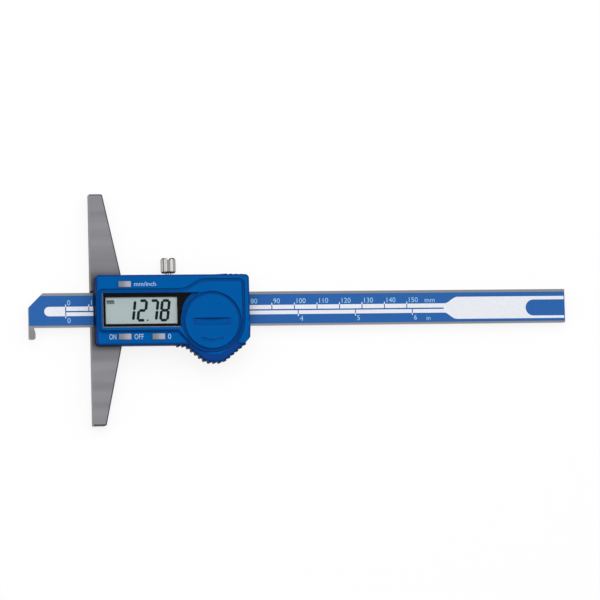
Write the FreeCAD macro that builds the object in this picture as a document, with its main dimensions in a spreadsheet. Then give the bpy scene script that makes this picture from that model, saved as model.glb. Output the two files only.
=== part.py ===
"""Digital hook depth gauge, modelled in millimetres.

The gauge lies on its back. The origin is on the back plane, in the measuring face of the base and on
the centre line of the beam. +X runs along the beam away from the measured work, +Y across it towards
the lock screw, and +Z out of the display.
"""
import FreeCAD
import Part
import Sketcher
import math
import os
import re

SIZES = {
    # base and slider frame
    "base_span": 100.0,
    "base_thick": 6.5,
    "base_end_width": 5.6,
    "base_mid_width": 16.3,
    "base_corner_round": 0.65,
    "base_edge_chamfer": 0.55,
    "frame_length": 67.0,
    "frame_top": 12.9,
    "frame_low": 14.9,
    "frame_corner_cut": 1.3,
    "back_wall": 1.95,
    "slide_gap": 0.05,
    "lip_reach": 0.8,
    "lip_thick": 0.5,
    # beam, hook and scale
    "beam_length": 237.2,
    "beam_width": 14.7,
    "beam_thick": 3.5,
    "beam_reach": 26.9,
    "corner_cut": 6.0,
    "hook_drop": 5.1,
    "hook_root": 2.2,
    "hook_tip": 2.7,
    "hook_round": 0.7,
    "hook_knee": 0.45,
    "hook_neck": 0.15,
    "scale_margin_top": 1.15,
    "scale_margin_low": 0.7,
    "scale_board_thick": 0.5,
    "label_thick": 0.12,
    # gib, its screws and the lock screw
    "gib_gap": 0.8,
    "gib_clearance": 0.04,
    "gib_end": 1.0,
    "gib_screw_radius": 1.25,
    "gib_screw_first": 18.0,
    "gib_screw_end_inset": 13.0,
    "gib_screw_sunk": 0.6,
    "driver_slot_width": 0.5,
    "driver_slot_depth": 0.7,
    "thread_gap": 0.04,
    "tight_gap": 0.02,
    "close_gap": 0.1,
    "free_gap": 0.15,
    "loose_gap": 0.2,
    "lock_x": 34.1,
    "lock_radius": 1.12,
    "lock_tip_gap": 0.5,
    "lock_neck": 2.8,
    "lock_head_height": 6.5,
    "lock_head_radius": 3.25,
    "lock_head_chamfer": 0.6,
    "lock_slot_width": 1.5,
    "lock_slot_depth": 0.8,
    "lock_bore_depth": 3.6,
    "knurl_depth": 0.14,
    "knurl_count": 30,
    # housing
    "house_left": 1.15,
    "house_overhang_right": 1.1,
    "house_overhang_top": 1.5,
    "house_overhang_low": 1.15,
    "house_height": 6.5,
    "house_wall": 1.5,
    "house_corner": 1.8,
    "house_edge_round": 1.3,
    "apron_gap": 0.12,
    "apron_stand": 0.3,
    "panel_raise": 0.6,
    "panel_border_left": 1.25,
    "panel_border_top": 0.85,
    "panel_border_low": 1.6,
    "panel_margin_right": 3.15,
    "panel_margin_top": 2.8,
    "panel_curve_reach": 14.75,
    "panel_curve_length": 13.5,
    "panel_corner": 1.6,
    "panel_edge_round": 0.55,
    "panel_groove_width": 1.0,
    "panel_groove_depth": 0.9,
    "thumb_start_reach": 11.1,
    "thumb_start_round": 5.0,
    "thumb_left_reach": 2.15,
    "thumb_right_reach": 4.75,
    "thumb_knee_reach": 14.25,
    "thumb_knee_drop": 15.75,
    "thumb_end_drop": 12.8,
    "thumb_depth": 7.3,
    "thumb_round": 6.0,
    "thumb_slope_width": 3.2,
    "thumb_slope_height": 1.4,
    "tooth_lead": 3.2,
    "tooth_pitch": 2.29,
    "tooth_radius": 0.65,
    "tooth_stand": 0.7,
    "grip_inset": 2.5,
    "grip_length": 12.6,
    "grip_ramp": 4.9,
    "grip_raise": 0.25,
    "grip_notch_radius": 0.5,
    "grip_notch_lead": 1.2,
    "grip_notch_pitch": 2.3,
    "boss_radius": 2.1,
    # board and electronics
    "board_left": 3.7,
    "board_rim": 0.65,
    "board_end_rim": 1.35,
    "board_thick": 1.0,
    "board_clearance": 0.15,
    "chip_side": 9.0,
    "chip_height": 1.1,
    "seat_gap": 0.05,
    # display
    "view_cell_gap": 14.75,
    "view_border_left": 1.55,
    "view_border_top": 1.9,
    "view_border_low": 1.3,
    "window_left": 3.95,
    "window_top": 6.5,
    "window_low": 8.4,
    "window_thick": 1.2,
    "window_sunk": 0.3,
    "window_clearance": 0.06,
    "window_ledge": 0.8,
    "window_ease": 0.2,
    "lcd_border": 0.85,
    "lcd_thick": 1.6,
    "holder_wall": 0.8,
    "holder_clearance": 0.1,
    "connector_width": 1.8,
    # push buttons
    "key_length": 5.5,
    "key_width": 2.65,
    "key_stand": 0.5,
    "key_travel": 0.6,
    "key_flange": 0.5,
    "key_flange_thick": 0.7,
    "key_gap": 0.08,
    "key_pad_gap": 0.1,
    "key_pad_radius": 1.15,
    "key_pad_foot": 1.45,
    "key_pad_foot_height": 0.6,
    "key_round": 0.35,
    "key_unit_x": 13.7,
    "key_unit_y": 10.25,
    "key_power_x": 13.45,
    "key_power_y": -12.35,
    "key_zero_cell_gap": 23.25,
    "key_zero_y": -12.4,
    # battery and its cover
    "cell_inset": 15.75,
    "cell_y": -6.05,
    "cell_radius": 10.0,
    "cell_thick": 3.2,
    "cell_rim": 0.9,
    "cell_clearance": 0.25,
    "cell_lift": 1.15,
    "well_radius": 12.6,
    "cover_radius": 12.0,
    "cover_recess": 12.8,
    "cover_recess_ease": 0.3,
    "cover_plug_radius": 11.0,
    "cover_plug_gap": 0.06,
    "cover_plug_height": 1.6,
    "cover_flange": 0.9,
    "cover_stand": 0.4,
    "cover_chamfer": 0.45,
    "cover_run_gap": 0.03,
    "ring_radius": 13.45,
    "seal_thick": 0.4,
    "seal_inner_gap": 0.15,
    "seal_width": 0.75,
    "coin_slot_length": 17.0,
    "coin_slot_width": 2.7,
    "coin_slot_depth": 1.6,
    "coin_slot_ease": 0.2,
    "mark_radius": 8.5,
    "mark_width": 0.9,
    "mark_depth": 0.4,
    "mark_half_angle": 31.0,
    "contact_thick": 0.2,
    "contact_width": 4.0,
    "contact_length": 12.0,
    "contact_drop": 0.4,
    # fasteners
    "screw_radius": 0.95,
    "screw_head_radius": 1.8,
    "screw_head_height": 1.1,
    "screw_sunk": 0.15,
    "screw_reach": 9.8,
    "pilot_reach": 0.3,
    "screw_cross_reach": 0.9,
    "screw_cross_width": 0.4,
    "screw_cross_depth": 0.6,
    "screw_left": 6.2,
    "screw_end_inset": 4.5,
    "screw_corner_inset": 2.4,
    "screw_top_inset": 2.5,
    "screw_low_inset": 3.8,
    "screw_corner_rise": 2.3,
    "board_screw_radius": 0.75,
    "board_screw_head_radius": 1.4,
    "board_screw_head_height": 0.8,
    "board_screw_depth": 3.0,
    "board_screw_key_gap": 2.8,
    "board_screw_lock_gap": 11.55,
    "board_screw_cell_gap": 6.6,
    "board_screw_drop": 1.2,
    # how far a cutting tool reaches past what it cuts, and a fused solid into the next
    "overrun": 1.0,
    "overlap": 0.5,
}

# Levels and places that follow from the sizes, each an expression over the sheet.
FITS = {
    "beam_back": "back_wall + slide_gap",
    "beam_front": "beam_back + beam_thick",
    "beam_top": "beam_width / 2",
    "beam_low": "0 - beam_width / 2",
    "beam_tip": "0 - beam_reach",
    "beam_end": "beam_length - beam_reach",
    "channel_top": "beam_top + gib_gap",
    "channel_low": "beam_low - slide_gap",
    "lip_back": "beam_front + slide_gap",
    "board_back": "lip_back + lip_thick",
    "board_front": "board_back + board_thick",
    "base_half": "base_span / 2",
    "base_slope": "(base_mid_width - base_end_width) / base_half",
    "scale_top": "beam_top - scale_margin_top",
    "scale_low": "beam_low + scale_margin_low",
    "label_back": "beam_front - label_thick",
    "scale_back": "label_back - scale_board_thick",
    "rail_middle": "beam_back + beam_thick / 2",
    "gib_low": "beam_top + gib_clearance",
    "gib_top": "channel_top - gib_clearance",
    "lock_seat": "frame_top + lock_neck",
    "house_right": "frame_length + house_overhang_right",
    "house_top": "frame_top + house_overhang_top",
    "house_low": "0 - frame_low - house_overhang_low",
    "board_right": "frame_length - board_end_rim - board_clearance",
    "board_top": "frame_top - board_rim - board_clearance",
    "board_low": "0 - frame_low + board_rim + board_clearance",
    "screw_right_top": "frame_length - screw_end_inset",
    "screw_right_low": "frame_length - screw_corner_inset",
    "screw_top": "frame_top - screw_top_inset",
    "screw_low": "0 - frame_low + screw_low_inset",
    "screw_low_right": "0 - frame_low + screw_corner_rise",
    "cell_x": "frame_length - cell_inset",
    "view_left": "window_left + view_border_left",
    "key_zero_x": "cell_x - key_zero_cell_gap",
    "view_right": "cell_x - view_cell_gap",
    "view_top": "window_top - view_border_top",
    "view_low": "0 - window_low + view_border_low",
    "panel_left": "window_left - panel_border_left",
    "panel_top": "window_top + panel_border_top",
    "panel_low": "0 - window_low - panel_border_low",
    "panel_right": "house_right - panel_margin_right",
    "panel_crest": "house_top - panel_margin_top",
    "panel_curve_start": "cell_x - panel_curve_reach",
    "panel_curve_end": "panel_curve_start + panel_curve_length",
    "thumb_start": "cell_x - thumb_start_reach",
    "thumb_left": "cell_x - thumb_left_reach",
    "thumb_right": "cell_x + thumb_right_reach",
    "thumb_knee": "cell_x + thumb_knee_reach",
    "grip_end": "house_right - grip_inset",
    "grip_start": "grip_end - grip_length",
    "grip_crest": "grip_start + grip_ramp",
    "grip_notch_first": "grip_crest + grip_notch_lead",
    "house_back": "base_thick",
    "house_front": "house_back + house_height",
    "front_inside": "house_front - house_wall",
    "panel_front": "house_front + panel_raise",
    "inside_left": "house_left + house_wall",
    "inside_right": "house_right - house_wall",
    "inside_top": "house_top - house_wall",
    "inside_low": "house_low + house_wall",
    "thumb_low": "house_low - thumb_depth",
    "window_front": "panel_front - window_sunk",
    "window_back": "window_front - window_thick",
    "lcd_front": "front_inside - 2 * seat_gap",
    "lcd_back": "lcd_front - lcd_thick",
    "lcd_left": "view_left - lcd_border",
    "lcd_right": "view_right + lcd_border",
    "lcd_top": "view_top + lcd_border",
    "lcd_low": "view_low - lcd_border",
    "key_top": "house_front + key_stand",
    "key_flange_top": "front_inside - seat_gap",
    "key_flange_back": "key_flange_top - key_flange_thick",
    "key_pad_top": "key_flange_back - key_travel - key_pad_gap",
    "cell_back": "board_front + cell_lift",
    "cell_front": "cell_back + cell_thick",
    "well_inner": "cell_radius + cell_clearance",
    "cover_front": "panel_front + cover_stand",
    "coin_radius": "(coin_slot_length * coin_slot_length / 4 + coin_slot_depth * coin_slot_depth)"
                   " / (2 * coin_slot_depth)",
    "cover_seat": "cover_front - cover_flange",
    "seal_front": "cover_seat - cover_run_gap",
    "seal_back": "seal_front - seal_thick",
    "recess_floor": "seal_back - cover_run_gap",
    "window_seat": "window_back - seat_gap",
    "plug_back": "cover_seat - cover_plug_height",
    "screw_head_back": "screw_sunk",
    "screw_head_front": "screw_sunk + screw_head_height",
}

doc = FreeCAD.newDocument("DepthGauge")
sheet = doc.addObject("Spreadsheet::Sheet", "Sizes")
for row, (alias, number) in enumerate(SIZES.items(), start=1):
    sheet.set(f"A{row}", alias)
    sheet.set(f"B{row}", str(number))
    sheet.setAlias(f"B{row}", alias)
doc.recompute()


def bound(expression):
    """The expression with every size and fit in it written as cells of the sheet."""
    def cell(match):
        word = match.group(0)
        if word in FITS:
            return f"({bound(FITS[word])})"
        return f"Sizes.{word}" if word in SIZES else word
    return re.sub(r"[a-z][a-z_0-9]*", cell, str(expression))


def value(expression):
    """The number that an expression gives now."""
    return float(sheet.evalExpression(bound(expression)))


def bind(item, **expressions):
    """Bind properties of an object, x, y and z being its place, to expressions."""
    for name, expression in expressions.items():
        path = f"Placement.Base.{name}" if name in "xyz" else name
        item.setExpression(path, bound(expression))
    return item


# Primitives and booleans

def about(middle, half):
    """The span that reaches half its length to either side of its middle."""
    return f"{middle} - {half}", f"{middle} + {half}"


def through(low, high):
    """The span of a tool that cuts right through from low to high."""
    return f"{low} - overrun", f"{high} + overrun"


def block(name, x, y, z):
    """A box between a low and a high expression on each axis."""
    box = doc.addObject("Part::Box", name)
    sides = {"Length": x, "Width": y, "Height": z}
    bind(box, x=x[0], y=y[0], z=z[0], **{side: f"({high}) - ({low})" for side, (low, high) in sides.items()})
    return box


TURNS = {
    "x": FreeCAD.Rotation(FreeCAD.Vector(0, 1, 0), 90),
    "y": FreeCAD.Rotation(FreeCAD.Vector(1, 0, 0), -90),
    "z": FreeCAD.Rotation(),
}


def rod(name, axis, centre, ends, radius):
    """A cylinder along an axis; centre holds its two other coordinates and ends its span."""
    cylinder = doc.addObject("Part::Cylinder", name)
    cylinder.Placement = FreeCAD.Placement(FreeCAD.Vector(), TURNS[axis])
    places = dict(zip([letter for letter in "xyz" if letter != axis], centre))
    places[axis] = ends[0]
    return bind(cylinder, Radius=radius, Height=f"({ends[1]}) - ({ends[0]})", **places)


def cone(name, centre, ends, radii):
    """A cone along +Z."""
    solid = doc.addObject("Part::Cone", name)
    return bind(solid, x=centre[0], y=centre[1], z=ends[0], Radius1=radii[0], Radius2=radii[1],
                Height=f"({ends[1]}) - ({ends[0]})")


def fuse(name, solids):
    """The union of the solids."""
    joined = doc.addObject("Part::MultiFuse", name)
    joined.Shapes = solids
    joined.Refine = True
    return joined


def cut(name, solid, tools):
    """The solid less all the tools."""
    difference = doc.addObject("Part::Cut", name)
    difference.Base = solid
    difference.Tool = tools[0] if len(tools) == 1 else fuse(name + "Tools", tools)
    difference.Refine = True
    return difference


def group(name, solids):
    """Several separate solids in one node."""
    compound = doc.addObject("Part::Compound", name)
    compound.Links = solids
    return compound


# Outlines and bodies

def outline(body, name, corners, height):
    """A closed sketch through corners given as pairs of expressions, at a height."""
    sketch = body.newObject("Sketcher::SketchObject", name)
    plane = next(item for item in body.Origin.OriginFeatures if item.Role == "XY_Plane")
    sketch.AttachmentSupport = [(plane, "")]
    sketch.MapMode = "FlatFace"
    sketch.setExpression("AttachmentOffset.Base.z", bound(height))
    points = [FreeCAD.Vector(value(x), value(y), 0) for x, y in corners]
    count = len(points)
    for index, point in enumerate(points):
        sketch.addGeometry(Part.LineSegment(point, points[(index + 1) % count]))
    for index in range(count):
        sketch.addConstraint(Sketcher.Constraint("Coincident", index, 2, (index + 1) % count, 1))
    for index, corner in enumerate(corners):
        for letter, expression, number in zip("XY", corner, points[index]):
            constraint = Sketcher.Constraint("Distance" + letter, -1, 1, index, 1, number)
            named = f"{letter}{index + 1}"
            sketch.renameConstraint(sketch.addConstraint(constraint), named)
            sketch.setExpression("Constraints." + named, bound(expression))
    return sketch


def prism(name, corners, z):
    """A body padded from a closed outline between two heights."""
    body = doc.addObject("PartDesign::Body", name)
    pad = body.newObject("PartDesign::Pad", name + "Pad")
    pad.Profile = outline(body, name + "Outline", corners, z[0])
    bind(pad, Length=f"({z[1]}) - ({z[0]})")
    doc.recompute()
    return body


def pocket(body, name, corners, z):
    """Cut a closed outline out of a body from its upper height down to its lower one."""
    feature = body.newObject("PartDesign::Pocket", name)
    feature.Profile = outline(body, name + "Outline", corners, z[1])
    bind(feature, Length=f"({z[1]}) - ({z[0]})")
    doc.recompute()


def edge_names(body, wanted):
    """The names of the body's edges whose two ends pass the test."""
    edges = enumerate(body.Shape.Edges, start=1)
    return [f"Edge{number}" for number, edge in edges if wanted([v.Point for v in edge.Vertexes])]


def upright_at(corners):
    """A test for upright edges that stand at one of the corners."""
    places = [(value(x), value(y)) for x, y in corners]

    def wanted(ends):
        if len(ends) != 2 or abs(ends[0].z - ends[1].z) < 0.01:
            return False
        return any(all(math.hypot(end.x - x, end.y - y) < 0.01 for end in ends) for x, y in places)
    return wanted


def level_at(height, keep=lambda point: True):
    """A test for edges that lie at a height, with both ends kept."""
    level = value(height)
    return lambda ends: all(abs(end.z - level) < 0.001 and keep(end) for end in ends)


def dress(body, kind, name, wanted, **size):
    """Add a fillet or a chamfer to the edges that pass the test."""
    base = body.Tip
    feature = body.newObject("PartDesign::" + kind, name)
    feature.Base = (base, edge_names(base, wanted))
    if "Size2" in size:
        feature.ChamferType = "Two distances"
    bind(feature, **size)
    body.Tip = feature
    doc.recompute()


def ease(name, base, wanted, size):
    """Break the edges of a solid that pass the test."""
    doc.recompute()
    chamfer = doc.addObject("Part::Chamfer", name)
    chamfer.Base = base
    width = value(size)
    chamfer.Edges = [(int(edge[4:]), width, width) for edge in edge_names(base, wanted)]
    return chamfer


def rectangle(x, y):
    """The four corners of a rectangle."""
    return [(x[0], y[0]), (x[1], y[0]), (x[1], y[1]), (x[0], y[1])]


def ring(name, centre, ends, inner, outer):
    """A flat ring along +Z."""
    rim = rod(name + "Rim", "z", centre, ends, outer)
    return cut(name, rim, [rod(name + "Hole", "z", centre, ends, inner)])


parts = []


def keep(label, item):
    """Name a finished sub-part."""
    item.Label = label
    parts.append(item)


CELL = ("cell_x", "cell_y")
KEYS = {
    "button_mm_inch": ("key_unit_x", "key_unit_y"),
    "button_on_off": ("key_power_x", "key_power_y"),
    "button_zero": ("key_zero_x", "key_zero_y"),
}
GIB_SCREWS = [
    ("gib_screw_first", "rail_middle"),
    ("frame_length - gib_screw_end_inset", "rail_middle"),
]
HOUSING_SCREWS = [
    ("screw_left", "screw_top"),
    ("screw_right_top", "screw_top"),
    ("screw_left", "screw_low"),
    ("screw_right_low", "screw_low_right"),
]
BOARD_SCREWS = [
    ("lock_x - board_screw_lock_gap", "screw_top"),
    ("cell_x - board_screw_cell_gap", "screw_top"),
    ("(key_power_x + key_zero_x) / 2", "screw_low - board_screw_drop"),
    ("key_zero_x + key_length + board_screw_key_gap", "screw_low - board_screw_drop"),
]
LOCK = ("lock_x", "rail_middle")


# Base frame: the T-shaped base and the channel that the beam slides in, one steel piece.

def make_base_frame():
    wing_top = "base_mid_width - base_slope * frame_top"
    wing_low = "base_mid_width - base_slope * frame_low"
    ends = [("base_end_width", "0 - base_half"), ("base_end_width", "base_half")]
    corners = [
        ("0", "0 - base_half"), ends[0], (wing_low, "0 - frame_low"),
        ("frame_length - frame_corner_cut", "0 - frame_low"),
        ("frame_length", "frame_corner_cut - frame_low"),
        ("frame_length", "frame_top"), (wing_top, "frame_top"), ends[1], ("0", "base_half"),
    ]
    body = prism("BaseFrame", corners, ("0", "base_thick"))
    clear = "board_clearance"
    pocket(body, "BoardSeat", rectangle(
        (f"board_left - {clear}", f"board_right + {clear}"),
        (f"board_low - {clear}", f"board_top + {clear}")), ("board_back", "base_thick"))
    dress(body, "Fillet", "EndRounds", upright_at(ends), Radius="base_corner_round")
    first, last = value("base_end_width / 2"), value(wing_top) + 0.01
    inner = value("frame_top") - 0.01

    def on_slope(point):
        return first < point.x < last and abs(point.y) > inner
    dress(body, "Chamfer", "SlopeChamfers", level_at("base_thick", on_slope), Size="base_edge_chamfer")
    tools = [
        block("BeamChannel", through("0", "frame_length"), ("channel_low", "channel_top"),
              ("back_wall", "lip_back")),
        block("ChannelMouth", ("0 - overrun", f"board_left - {clear}"), ("channel_low", "channel_top"),
              ("beam_back", "base_thick + overrun")),
        block("ReadingGap", (f"board_left - {clear} - overrun", "frame_length + overrun"),
              ("channel_low + lip_reach", "channel_top - lip_reach"), ("beam_back", "base_thick + overrun")),
    ]
    side = ("channel_top - gib_gap / 2", "frame_top + overrun")
    tools.append(rod("LockHole", "y", LOCK, side, "lock_radius + thread_gap"))
    for index, centre in enumerate(GIB_SCREWS, start=1):
        tools.append(rod(f"GibScrewHole{index}", "y", centre, side, "gib_screw_radius + tight_gap"))
    thickness = through("0", "base_thick")
    for index, centre in enumerate(HOUSING_SCREWS, start=1):
        tools.append(rod(f"ScrewHole{index}", "z", centre, thickness, "screw_radius + free_gap"))
        tools.append(rod(f"ScrewSink{index}", "z", centre, ("0 - overrun", "screw_head_front"),
                         "screw_head_radius + loose_gap"))
    depth = ("board_back - board_screw_depth - close_gap", "base_thick + overrun")
    for index, centre in enumerate(BOARD_SCREWS, start=1):
        tools.append(rod(f"BoardScrewHole{index}", "z", centre, depth, "board_screw_radius + tight_gap"))
    keep("base_frame", cut("BaseFrameCut", body, tools))


# Beam: the steel rule with its hook, and the printed scale let into its face.

def beam_outline(low, top):
    """The outline of the beam or of what lies on it, with the cut corner."""
    slant = f"(beam_top - ({top}))"
    return [
        ("beam_tip", low), ("beam_end", low), ("beam_end", top),
        (f"beam_tip + corner_cut - {slant}", top), ("beam_tip", "beam_top - corner_cut"),
    ]


def make_beam():
    hook = [
        ("beam_tip", "beam_low - hook_drop"),
        ("beam_tip + hook_tip", "beam_low - hook_drop"),
        ("beam_tip + hook_tip", "beam_low - hook_drop * hook_knee"),
        ("beam_tip + hook_root", "beam_low - hook_drop * hook_neck"),
        ("beam_tip + hook_root", "beam_low"),
    ]
    corners = hook + beam_outline("beam_low", "beam_top")[1:]
    body = prism("Beam", corners, ("beam_back", "beam_front"))
    dress(body, "Fillet", "HookRounds", upright_at(hook[:2]), Radius="hook_round")
    inset = "scale_margin_low"
    groove = [
        (f"beam_tip - {inset}", "scale_low"), (f"beam_end + {inset}", "scale_low"),
        (f"beam_end + {inset}", "scale_top"), (f"beam_tip - {inset}", "scale_top"),
    ]
    pocket(body, "ScaleGroove", groove, ("scale_back", "beam_front"))
    keep("beam", body)
    layer = beam_outline("scale_low", "scale_top")
    keep("scale_board", prism("ScaleBoard", layer, ("scale_back", "label_back")))
    keep("scale_label", prism("ScaleLabel", layer, ("label_back", "beam_front")))


# Gib strip with its two grub screws, and the lock screw.

def make_gib():
    strip = block("GibStrip", ("board_left + gib_end", "frame_length - gib_end"), ("gib_low", "gib_top"),
                  ("beam_back + slide_gap", "beam_front - slide_gap"))
    keep("gib_strip", strip)
    screws = []
    for index, centre in enumerate(GIB_SCREWS, start=1):
        outer = "frame_top - gib_screw_sunk"
        grub = rod(f"Grub{index}", "y", centre, ("gib_top", outer), "gib_screw_radius")
        slot = block(f"GrubSlot{index}", about(centre[0], "2 * gib_screw_radius"),
                     (f"{outer} - driver_slot_depth", f"{outer} + overrun"),
                     about("rail_middle", "driver_slot_width / 2"))
        screws.append(cut(f"GrubScrew{index}", grub, [slot]))
    keep("gib_screws", group("GibScrews", screws))


def make_lock_screw():
    bore_end = "lock_seat + lock_bore_depth"
    keep("lock_stud", rod("LockStud", "y", LOCK, ("gib_top + lock_tip_gap", bore_end), "lock_radius"))
    body = doc.addObject("PartDesign::Body", "LockKnob")
    sketch = body.newObject("Sketcher::SketchObject", "KnobOutline")
    plane = next(item for item in body.Origin.OriginFeatures if item.Role == "XY_Plane")
    sketch.AttachmentSupport = [(plane, "")]
    sketch.MapMode = "FlatFace"
    centre = FreeCAD.Vector()
    sketch.addGeometry(Part.Circle(centre, FreeCAD.Vector(0, 0, 1), value("lock_head_radius")))
    sketch.addConstraint(Sketcher.Constraint("Coincident", 0, 3, -1, 1))
    sketch.addConstraint(Sketcher.Constraint("Radius", 0, value("lock_head_radius")))
    sketch.setExpression("Constraints[1]", bound("lock_head_radius"))
    pad = body.newObject("PartDesign::Pad", "KnobPad")
    pad.Profile = sketch
    bind(pad, Length="lock_head_height")
    doc.recompute()
    groove = [
        ("lock_head_radius - knurl_depth", "0"),
        ("lock_head_radius + knurl_depth", "0 - 2 * knurl_depth"),
        ("lock_head_radius + knurl_depth", "2 * knurl_depth"),
    ]
    pocket(body, "KnurlGroove", groove, ("0", "lock_head_height"))
    knurl = body.newObject("PartDesign::PolarPattern", "Knurl")
    knurl.Originals = [doc.getObject("KnurlGroove")]
    knurl.Axis = (sketch, ["N_Axis"])
    bind(knurl, Occurrences="knurl_count")
    body.Tip = knurl
    doc.recompute()
    body.Placement = FreeCAD.Placement(FreeCAD.Vector(), TURNS["y"])
    bind(body, x="lock_x", y="lock_seat", z="rail_middle")
    outer = "lock_seat + lock_head_height"
    slot = block("KnobSlot", about("lock_x", "lock_slot_width / 2"),
                 (f"{outer} - lock_slot_depth", f"{outer} + overrun"),
                 about("rail_middle", "2 * lock_head_radius"))
    bore = rod("KnobBore", "y", LOCK, ("lock_seat - overrun", f"{bore_end} + tight_gap"),
               "lock_radius + tight_gap")
    collars = []
    narrow, wide = "lock_head_radius - lock_head_chamfer", "lock_head_radius"
    ends = [("lock_seat", narrow, wide), (f"{outer} - lock_head_chamfer", wide, narrow)]
    for index, (low, first, last) in enumerate(ends, start=1):
        blank = rod(f"ChamferBlank{index}", "y", LOCK, (low, f"{low} + lock_head_chamfer"),
                    "lock_head_radius + overrun")
        taper = doc.addObject("Part::Cone", f"ChamferCone{index}")
        taper.Placement = FreeCAD.Placement(FreeCAD.Vector(), TURNS["y"])
        bind(taper, x="lock_x", y=low, z="rail_middle", Radius1=first, Radius2=last,
             Height="lock_head_chamfer")
        collars.append(cut(f"ChamferTool{index}", blank, [taper]))
    keep("lock_knob", cut("LockKnobCut", body, [slot, bore] + collars))


# Housing: the moulded shell over the frame.

def thumb_corners():
    """The five corners of the thumb bulge, from its left start to the right wall."""
    return [
        ("thumb_start", "house_low"), ("thumb_left", "thumb_low"), ("thumb_right", "thumb_low"),
        ("thumb_knee", "0 - thumb_knee_drop"), ("house_right", "0 - thumb_end_drop"),
    ]


def make_thumb_body():
    start, left, right, knee, end = thumb_corners()
    foot, head = ("thumb_start - tooth_lead", "house_low"), ("thumb_start - tooth_lead", "cell_y")
    corners = [foot, start, left, right, knee, end, ("house_right", "cell_y"), head]
    body = prism("ThumbBulge", corners, ("house_back", "house_front"))
    dress(body, "Fillet", "ThumbStartRound", upright_at([start]), Radius="thumb_start_round")
    dress(body, "Fillet", "ThumbRounds", upright_at([left, right]), Radius="thumb_round")
    limit = value("0 - thumb_end_drop") + 0.01
    low_rim = level_at("house_front", lambda point: point.y < limit)
    dress(body, "Chamfer", "ThumbSlope", low_rim, Size="thumb_slope_height", Size2="thumb_slope_width")
    return body


def make_corner_slant():
    """What the shell loses at its lower right, where the bulge slants up to the right wall."""
    right, knee, end = thumb_corners()[2:]
    away = "house_right + overrun"
    corners = [right, (away, "thumb_low"), (away, "0 - thumb_end_drop"), end, knee]
    return prism("CornerSlant", corners, ("house_back - overrun", "house_front + overrun"))


def make_teeth(body):
    """Upright ridges at an even pitch along the edge of the bulge."""
    level = value("house_back")
    limit = value("0 - thumb_knee_drop") + 0.01
    low_edges = [
        edge for edge in body.Shape.Edges
        if all(abs(v.Point.z - level) < 0.001 and v.Point.y < limit for v in edge.Vertexes)
    ]
    path = Part.Wire(Part.__sortEdges__(low_edges))
    count = round(path.Length / value("tooth_pitch"))
    inset = value("tooth_radius - tooth_stand")
    radius, height = value("tooth_radius"), value("house_height - thumb_slope_height")
    centre = FreeCAD.Vector(value("cell_x"), value("cell_y"), level)
    teeth = [
        Part.makeCylinder(radius, height, point + (centre - point).normalize() * inset)
        for point in path.discretize(Number=count + 1)
    ]
    ridges = doc.addObject("Part::Feature", "ThumbTeeth")
    ridges.Shape = teeth[0].multiFuse(teeth[1:])
    return ridges


def panel_blank(grow, base, height):
    """The raised front as a plate with an S-curved upper edge and a disc, its outline grown all round."""
    left, right = value("panel_left") - grow, value("panel_right") + grow
    top, crest, low = value("panel_top") + grow, value("panel_crest") + grow, value("panel_low") - grow
    start, end, reach = value("panel_curve_start"), value("panel_curve_end"), value("ring_radius") + grow
    disc_x, disc_y, corner = value("cell_x"), value("cell_y"), value("panel_corner") + grow

    def at(x, y):
        return FreeCAD.Vector(x, y, base)
    middle = (start + end) / 2
    low_rest, high_rest = at(middle, top - grow), at(middle, crest - grow)
    edge = Part.BezierCurve()
    edge.setPoles([at(start, top - grow), low_rest, high_rest, at(end, crest - grow)])
    steps = 12
    path = []
    for step in range(steps + 1):
        along = edge.tangent(step / steps)[0]
        path.append(edge.value(step / steps) + FreeCAD.Vector(-along.y, along.x, 0) * grow)
    curve = Part.BSplineCurve()
    level = FreeCAD.Vector(1, 0, 0)
    curve.interpolate(Points=path, InitialTangent=level, FinalTangent=level)
    points = [(end, crest), (right, crest), (right, disc_y), (left, disc_y), (left, top), (start, top)]
    lines = [Part.makeLine(at(*a), at(*b)) for a, b in zip(points, points[1:])]
    upper = Part.Face(Part.Wire([curve.toShape()] + lines))
    turn = math.asin(reach / math.hypot(disc_x - start, disc_y - low))
    fall = math.atan2(disc_y - low, disc_x - start) - turn
    touch = at(disc_x + reach * math.sin(fall), disc_y - reach * math.cos(fall))
    foot = [at(left, low), at(start, low), touch, at(disc_x, disc_y), at(left, disc_y), at(left, low)]
    lower = Part.Face(Part.makePolygon(foot))
    disc = Part.Face(Part.Wire(Part.makeCircle(reach, at(disc_x, disc_y))))
    rise = FreeCAD.Vector(0, 0, height)
    plate = upper.extrude(rise).fuse([lower.extrude(rise), disc.extrude(rise)]).removeSplitter().Solids[0]
    corners = [(left, top), (left, low), (right, crest)]

    def at_corner(ends):
        return any(all(math.hypot(end.x - x, end.y - y) < 0.01 for end in ends) for x, y in corners)
    upright = [edge for edge in plate.Edges if at_corner([v.Point for v in edge.Vertexes])]
    return plate.makeFillet(corner, upright), touch.y


def make_panel():
    """The raised panel and the groove around it, which stops where the disc meets the thumb bulge."""
    level, height = value("house_front"), value("panel_raise")
    width, depth = value("panel_groove_width"), value("panel_groove_depth")
    plate, limit = panel_blank(0, level, height)
    front = level + height
    rim = [edge for edge in plate.Edges if all(abs(v.Point.z - front) < 0.001 for v in edge.Vertexes)]
    panel = doc.addObject("Part::Feature", "Panel")
    panel.Shape = plate.makeChamfer(value("panel_edge_round"), rim)
    core = panel_blank(0, level - depth, depth)[0]
    band = panel_blank(width, level - depth, depth)[0].cut(core)
    reach = value("frame_length")
    bounds = Part.makeBox(reach, reach, depth, FreeCAD.Vector(0, limit, level - depth))
    groove = doc.addObject("Part::Feature", "PanelGroove")
    groove.Shape = band.common(bounds)
    return panel, groove


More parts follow.
